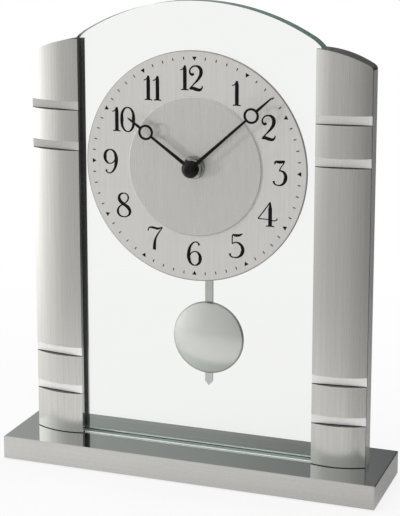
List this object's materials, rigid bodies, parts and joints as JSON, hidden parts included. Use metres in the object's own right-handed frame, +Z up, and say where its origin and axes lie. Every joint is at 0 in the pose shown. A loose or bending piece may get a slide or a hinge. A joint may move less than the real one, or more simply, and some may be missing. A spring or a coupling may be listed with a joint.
{
  "type": "desk pendulum clock",
  "caption": "Desk clock: metal base, two slotted metal pillars, arched glass pane, round numbered dial with two hands, battery movement and a swinging pendulum behind the pane.",
  "frame": {"origin": "centre of the footprint, on the surface the clock rests on", "axes": "+X to the clock's right as seen from its front, -Y towards the viewer of the dial, +Z up"},
  "size_m": [0.19, 0.048, 0.2303],
  "materials": {
    "brushed_base": "brushed",
    "brushed_pillar": "brushed",
    "pad_rubber": "matt",
    "screw_steel": "satin",
    "clear_glass": "polished",
    "dial_silver": "satin",
    "dial_disc": "brushed",
    "black_rubber": "matt",
    "shaft_brass": "satin",
    "spring_brass": "satin",
    "case_plastic": "fine grain",
    "white_plastic": "smooth",
    "knob_plastic": "smooth",
    "black_paint": "satin",
    "rotor_magnet": "satin",
    "stator_steel": "satin",
    "copper_winding": "enamelled wire",
    "board_green": "gloss",
    "crystal_can": "polished",
    "battery_sleeve": "printed sleeve without text",
    "contact_steel": "plated",
    "hanger_plastic": "smooth",
    "drive_magnet": "plated",
    "rod_metal": "satin",
    "bob_metal": "satin, polished rim"
  },
  "bodies": {
    "clock": {"base_slab": "brushed_base", "foot_pads": "pad_rubber", "left_pillar": "brushed_pillar", "right_pillar": "brushed_pillar", "pillar_screws": "screw_steel", "glass_panel": "clear_glass", "dial_plate": "dial_silver", "dial_centre_disc": "dial_disc", "rubber_washer": "black_rubber", "threaded_bushing": "shaft_brass", "brass_washer": "shaft_brass", "hex_nut": "shaft_brass", "movement_case": "case_plastic", "movement_cover": "case_plastic", "cover_screws": "screw_steel", "train_plate": "white_plastic", "stator": "stator_steel", "drive_coil": "copper_winding", "circuit_board": "board_green", "quartz_crystal": "crystal_can", "contact_positive": "contact_steel", "contact_negative": "contact_steel", "pendulum_coil": "copper_winding", "pivot_pin": "screw_steel"},
    "minute_work": {"centre_arbor": "white_plastic", "minute_hand": "black_paint", "hub_cap": "black_paint", "clutch_spring": "spring_brass"},
    "hour_work": {"hour_wheel": "white_plastic", "hour_hand": "black_paint"},
    "setting_work": {"motion_wheel": "white_plastic", "set_knob": "knob_plastic"},
    "centre_wheel_body": {"centre_wheel": "white_plastic"},
    "third_wheel_body": {"third_wheel": "white_plastic"},
    "fourth_wheel_body": {"fourth_wheel": "white_plastic"},
    "intermediate_wheel_body": {"intermediate_wheel": "white_plastic"},
    "rotor_body": {"rotor": "rotor_magnet"},
    "pendulum": {"pendulum_hanger": "hanger_plastic", "hanger_magnet": "drive_magnet", "pendulum_rod": "rod_metal", "pendulum_bob": "bob_metal", "bob_clip": "rod_metal"},
    "cell": {"battery": "battery_sleeve"}
  },
  "joints": [
    {"name": "minute_turn", "type": "hinge", "parent": "clock", "child": "minute_work", "pos_m": [0, 0, 0.1518], "axis": [0, 1, 0], "continuous": true},
    {"name": "hour_turn", "type": "hinge", "parent": "clock", "child": "hour_work", "pos_m": [0, 0, 0.1518], "axis": [0, 1, 0], "continuous": true},
    {"name": "setting_turn", "type": "hinge", "parent": "clock", "child": "setting_work", "pos_m": [0.0108, 0, 0.1518], "axis": [0, 1, 0], "continuous": true},
    {"name": "centre_wheel_turn", "type": "hinge", "parent": "clock", "child": "centre_wheel_body", "pos_m": [0, 0, 0.1518], "axis": [0, 1, 0], "continuous": true},
    {"name": "third_wheel_turn", "type": "hinge", "parent": "clock", "child": "third_wheel_body", "pos_m": [-0.0102, 0, 0.1518], "axis": [0, 1, 0], "continuous": true},
    {"name": "fourth_wheel_turn", "type": "hinge", "parent": "clock", "child": "fourth_wheel_body", "pos_m": [-0.0102, 0, 0.141], "axis": [0, 1, 0], "continuous": true},
    {"name": "intermediate_wheel_turn", "type": "hinge", "parent": "clock", "child": "intermediate_wheel_body", "pos_m": [-0.0032, 0, 0.141], "axis": [0, 1, 0], "continuous": true},
    {"name": "rotor_turn", "type": "hinge", "parent": "clock", "child": "rotor_body", "pos_m": [0.0028, 0, 0.141], "axis": [0, 1, 0], "continuous": true},
    {"name": "pendulum_swing", "type": "hinge", "parent": "clock", "child": "pendulum", "pos_m": [0, 0, 0.1318], "axis": [0, 1, 0], "range_deg": [-8, 8]},
    {"name": "battery_out", "type": "slide", "parent": "clock", "child": "cell", "axis": [0, 1, 0], "range_m": [0, 0.03]}
  ],
  "couplings": [
    {"joint": "hour_turn", "follows": "minute_turn", "ratio": 0.083333},
    {"joint": "setting_turn", "follows": "minute_turn", "ratio": -0.33333},
    {"joint": "intermediate_wheel_turn", "follows": "rotor_turn", "ratio": -0.2},
    {"joint": "fourth_wheel_turn", "follows": "rotor_turn", "ratio": 0.033333},
    {"joint": "third_wheel_turn", "follows": "rotor_turn", "ratio": -0.0041667},
    {"joint": "centre_wheel_turn", "follows": "rotor_turn", "ratio": 0.00055556}
  ]
}
